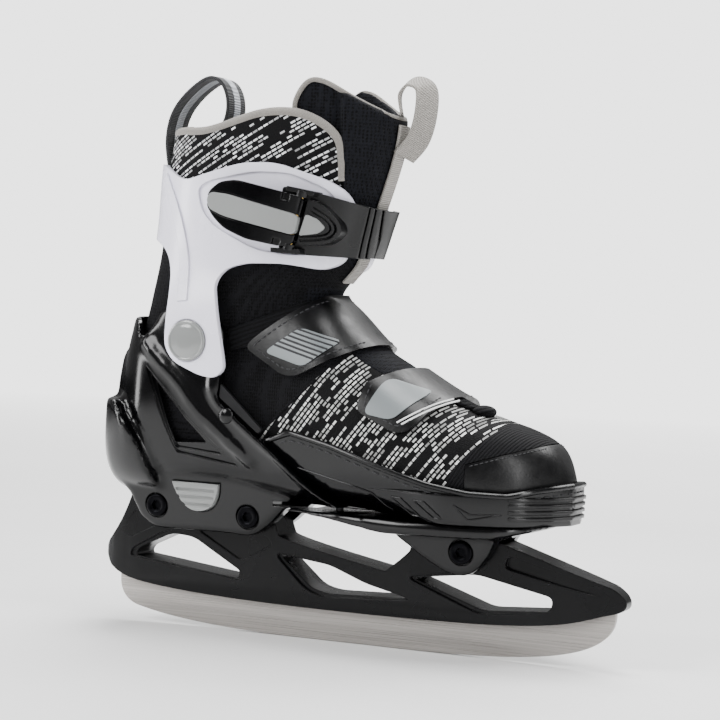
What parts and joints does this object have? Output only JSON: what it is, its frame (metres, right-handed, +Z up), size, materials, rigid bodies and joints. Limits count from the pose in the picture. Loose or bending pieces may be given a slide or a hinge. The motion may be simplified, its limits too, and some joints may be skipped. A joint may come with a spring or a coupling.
{
  "type": "adjustable ice skate",
  "caption": "Right-foot recreational ice skate: steel blade in a moulded holder, hard chassis with hinged ankle cuff and buckle, soft boot with straps, sliding toe half for size.",
  "frame": {"origin": "middle of the flat part of the blade's running edge, on the middle plane of the blade", "axes": "+X towards the toe along the blade, +Y towards the inner side of the foot, +Z up, square to the flat running edge"},
  "size_m": [0.2886, 0.1028, 0.2893],
  "materials": {
    "blade_steel": "lengthwise brushed stainless steel",
    "black_steel": "black oxide",
    "zinc_steel": "zinc plated",
    "brass": "turned",
    "satin_black_plastic": "satin moulded",
    "gloss_black_plastic": "polished moulding",
    "white_plastic": "fine semi-gloss moulding",
    "grey_plastic": "satin moulded",
    "boot_mesh": "padded mesh fabric",
    "boot_knit": "patterned knit fabric",
    "black_leather": "coated synthetic leather, stitched",
    "grey_webbing": "twill webbing",
    "dark_webbing": "twill webbing",
    "insole_foam": "fabric-faced foam"
  },
  "bodies": {
    "shell": {"blade": "blade_steel", "blade_holder": "satin_black_plastic", "chassis_shell": "gloss_black_plastic", "mount_bolt_rear": "black_steel", "sleeve_nut_rear": "black_steel", "mount_bolt_middle": "black_steel", "sleeve_nut_middle": "black_steel", "mount_bolt_front": "black_steel", "sleeve_nut_front": "black_steel", "heel_insert": "grey_plastic", "liner_rivet_outer": "gloss_black_plastic", "liner_rivet_inner": "gloss_black_plastic", "heel_upper": "boot_mesh", "tongue_lower": "boot_mesh", "insole_heel": "insole_foam", "instep_strap_root": "black_leather"},
    "toe": {"toe_shell": "gloss_black_plastic", "toe_cap": "black_leather", "forefoot_upper": "boot_knit", "insole_toe": "insole_foam", "slide_screw": "zinc_steel", "toe_strap_root": "black_leather"},
    "size_release": {"size_button": "grey_plastic", "size_latch": "zinc_steel", "size_spring": "zinc_steel"},
    "cuff": {"cuff": "white_plastic", "ankle_shaft": "boot_mesh", "tongue_upper": "boot_mesh", "pivot_cap_outer": "grey_plastic", "pivot_cap_inner": "grey_plastic", "slip_washer_outer": "zinc_steel", "slip_washer_inner": "zinc_steel", "buckle_rack": "satin_black_plastic", "band_anchor": "satin_black_plastic", "band_rivet": "brass", "tongue_loop": "grey_webbing", "heel_loop": "dark_webbing"},
    "band": {"buckle_band": "satin_black_plastic", "buckle_pin": "brass"},
    "lever": {"buckle_lever": "gloss_black_plastic"},
    "lever_release": {"buckle_release": "grey_plastic"},
    "instep_strap": {"instep_strap": "black_leather"},
    "toe_strap": {"toe_strap": "black_leather"}
  },
  "joints": [
    {"name": "cuff_pivot", "type": "hinge", "parent": "shell", "child": "cuff", "pos_m": [-0.0818, 0, 0.1519], "axis": [0, 1, 0], "range_deg": [-3, 5]},
    {"name": "toe_extend", "type": "slide", "parent": "shell", "child": "toe", "axis": [1, 0, 0], "range_m": [0, 0.02]},
    {"name": "size_button_press", "type": "slide", "parent": "shell", "child": "size_release", "axis": [0, 1, 0], "range_m": [0, 0.0035], "stiffness_N_per_m": 700, "springref_m": -0.001},
    {"name": "band_swing", "type": "hinge", "parent": "cuff", "child": "band", "pos_m": [-0.038, 0.0444, 0.213], "axis": [0, 0, 1], "range_deg": [0, 50]},
    {"name": "lever_open", "type": "hinge", "parent": "band", "child": "lever", "pos_m": [-0.02375, -0.04515, 0.2145], "axis": [0.2423, -0.0444, 0.9692], "range_deg": [0, 95]},
    {"name": "lever_release_press", "type": "slide", "parent": "lever", "child": "lever_release", "axis": [0, 1, 0], "range_m": [0, 0.001], "stiffness_N_per_m": 600, "springref_m": -0.0005},
    {"name": "instep_strap_peel", "type": "hinge", "parent": "shell", "child": "instep_strap", "pos_m": [-0.006, -0.009, 0.167], "axis": [-0.7422, 0, 0.6702], "range_deg": [0, 50]},
    {"name": "toe_strap_peel", "type": "hinge", "parent": "toe", "child": "toe_strap", "pos_m": [0.039, -0.009, 0.1364], "axis": [-0.8793, 0, 0.4762], "range_deg": [0, 100]}
  ]
}
